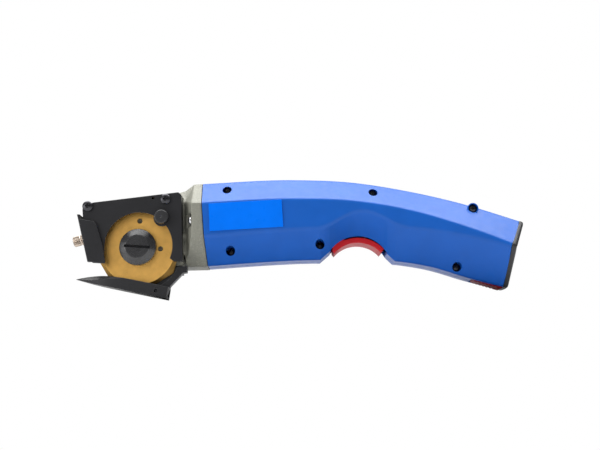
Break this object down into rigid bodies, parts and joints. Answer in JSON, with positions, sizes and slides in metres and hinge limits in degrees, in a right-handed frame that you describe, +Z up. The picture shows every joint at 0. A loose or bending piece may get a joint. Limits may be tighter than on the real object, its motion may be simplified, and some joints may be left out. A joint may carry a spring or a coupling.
{
  "type": "rotary cutter",
  "caption": "Cordless round-knife cloth cutter: polygonal blade under a sheet cover, table foot, curved grip with a finger recess and trigger, removable battery at the rear.",
  "frame": {"origin": "centre of the bounding box, on the ground below the lowest point of the foot", "axes": "+X runs from the blade back along the handle, +Z is up, -Y is the side that the blade cover faces"},
  "size_m": [0.28, 0.0484, 0.0741],
  "materials": {
    "shell_blue": "satin moulded",
    "label_blue": "satin",
    "cast_aluminium": "as cast",
    "black_sheet": "satin",
    "bright_steel": "turned",
    "black_screw": "blackened",
    "blade_gold": "gold-coloured coating, ground",
    "nut_black": "satin",
    "nickel": "nickel plated",
    "trigger_red": "satin",
    "latch_red": "satin",
    "black_plastic": "satin",
    "cell_wrap": "shrink wrap",
    "board_green": "satin",
    "motor_can": "zinc plated",
    "carbide": "ground",
    "stone": "abrasive"
  },
  "bodies": {
    "body": {"left_shell": "shell_blue", "right_shell": "shell_blue", "shell_screw_1": "black_screw", "shell_screw_2": "black_screw", "shell_screw_3": "black_screw", "shell_screw_4": "black_screw", "shell_screw_5": "black_screw", "shell_screw_6": "black_screw", "nameplate": "label_blue", "trigger_pin": "bright_steel", "trigger_spring": "bright_steel", "microswitch": "black_plastic", "control_board": "board_green", "terminal_block": "black_plastic", "motor": "motor_can", "motor_mount": "cast_aluminium", "layshaft_front_bearing": "bright_steel", "layshaft_rear_bearing": "bright_steel", "gear_housing": "cast_aluminium", "gearbox_cover": "cast_aluminium", "gearbox_screw_1": "bright_steel", "gearbox_screw_2": "bright_steel", "housing_screw_near": "bright_steel", "housing_screw_far": "bright_steel", "spindle_near_bearing": "bright_steel", "spindle_far_bearing": "bright_steel", "knife_cover": "black_sheet", "cover_screw_1": "black_screw", "cover_screw_2": "black_screw", "sharpener_spring": "bright_steel", "foot": "black_sheet", "foot_arm": "black_sheet", "arm_screw_1": "black_screw", "arm_screw_2": "black_screw", "foot_pin": "bright_steel", "counter_blade": "carbide"},
    "rotor": {"motor_shaft": "bright_steel", "motor_pinion": "bright_steel"},
    "layshaft": {"layshaft": "bright_steel", "spur_gear": "bright_steel", "bevel_pinion": "bright_steel"},
    "blade_spindle": {"spindle": "bright_steel", "crown_gear": "bright_steel", "blade_hub": "bright_steel", "blade": "blade_gold", "blade_nut": "nut_black"},
    "trigger": {"trigger": "trigger_red"},
    "switch_plunger": {"switch_plunger": "trigger_red"},
    "sharpener": {"sharpener_button": "black_plastic", "grinding_stone": "stone"},
    "finger_guard": {"finger_guard": "black_sheet"},
    "thumbscrew": {"thumbscrew": "nickel"},
    "battery": {"battery_case": "black_plastic", "battery_cell_1": "cell_wrap", "battery_cell_2": "cell_wrap", "battery_cell_3": "cell_wrap", "end_cap": "black_plastic"},
    "battery_latch": {"battery_latch": "latch_red"}
  },
  "joints": [
    {"name": "blade_spin", "type": "hinge", "parent": "body", "child": "blade_spindle", "pos_m": [-0.09752, 0.001, 0.03187], "axis": [0, 1, 0], "continuous": true},
    {"name": "layshaft_spin", "type": "hinge", "parent": "body", "child": "layshaft", "pos_m": [-0.07752, 0.001, 0.03187], "axis": [1, 0, 0], "continuous": true},
    {"name": "motor_spin", "type": "hinge", "parent": "body", "child": "rotor", "pos_m": [-0.05752, 0.001, 0.04687], "axis": [1, 0, 0], "continuous": true},
    {"name": "trigger_press", "type": "hinge", "parent": "body", "child": "trigger", "pos_m": [0.01998, 0.001, 0.03587], "axis": [0, -1, 0], "range_deg": [0, 6], "stiffness_Nm_per_rad": 0.15, "springref_deg": -5.73},
    {"name": "plunger_slide", "type": "slide", "parent": "body", "child": "switch_plunger", "axis": [0, 0, 1], "range_m": [0, 0.0013]},
    {"name": "sharpener_press", "type": "slide", "parent": "body", "child": "sharpener", "axis": [0, 1, 0], "range_m": [0, 0.0014], "stiffness_N_per_m": 300, "springref_m": -0.002},
    {"name": "guard_slide", "type": "slide", "parent": "body", "child": "finger_guard", "axis": [-0.225, 0, 0.9744], "range_m": [-0.005, 0.004]},
    {"name": "thumbscrew_turn", "type": "hinge", "parent": "body", "child": "thumbscrew", "pos_m": [-0.13057, -0.003, 0.03987], "axis": [-0.9744, 0, -0.225], "range_deg": [0, 540]},
    {"name": "battery_slide", "type": "slide", "parent": "body", "child": "battery", "axis": [0.9537, 0, -0.3007], "range_m": [0, 0.075]},
    {"name": "latch_press", "type": "slide", "parent": "battery", "child": "battery_latch", "axis": [0.3007, 0, 0.9537], "range_m": [0, 0.0015], "stiffness_N_per_m": 400, "springref_m": -0.002}
  ],
  "couplings": [
    {"joint": "layshaft_spin", "follows": "blade_spin", "ratio": -3},
    {"joint": "motor_spin", "follows": "blade_spin", "ratio": 5.6},
    {"joint": "plunger_slide", "follows": "trigger_press", "m_per_rad": 0.0115}
  ]
}
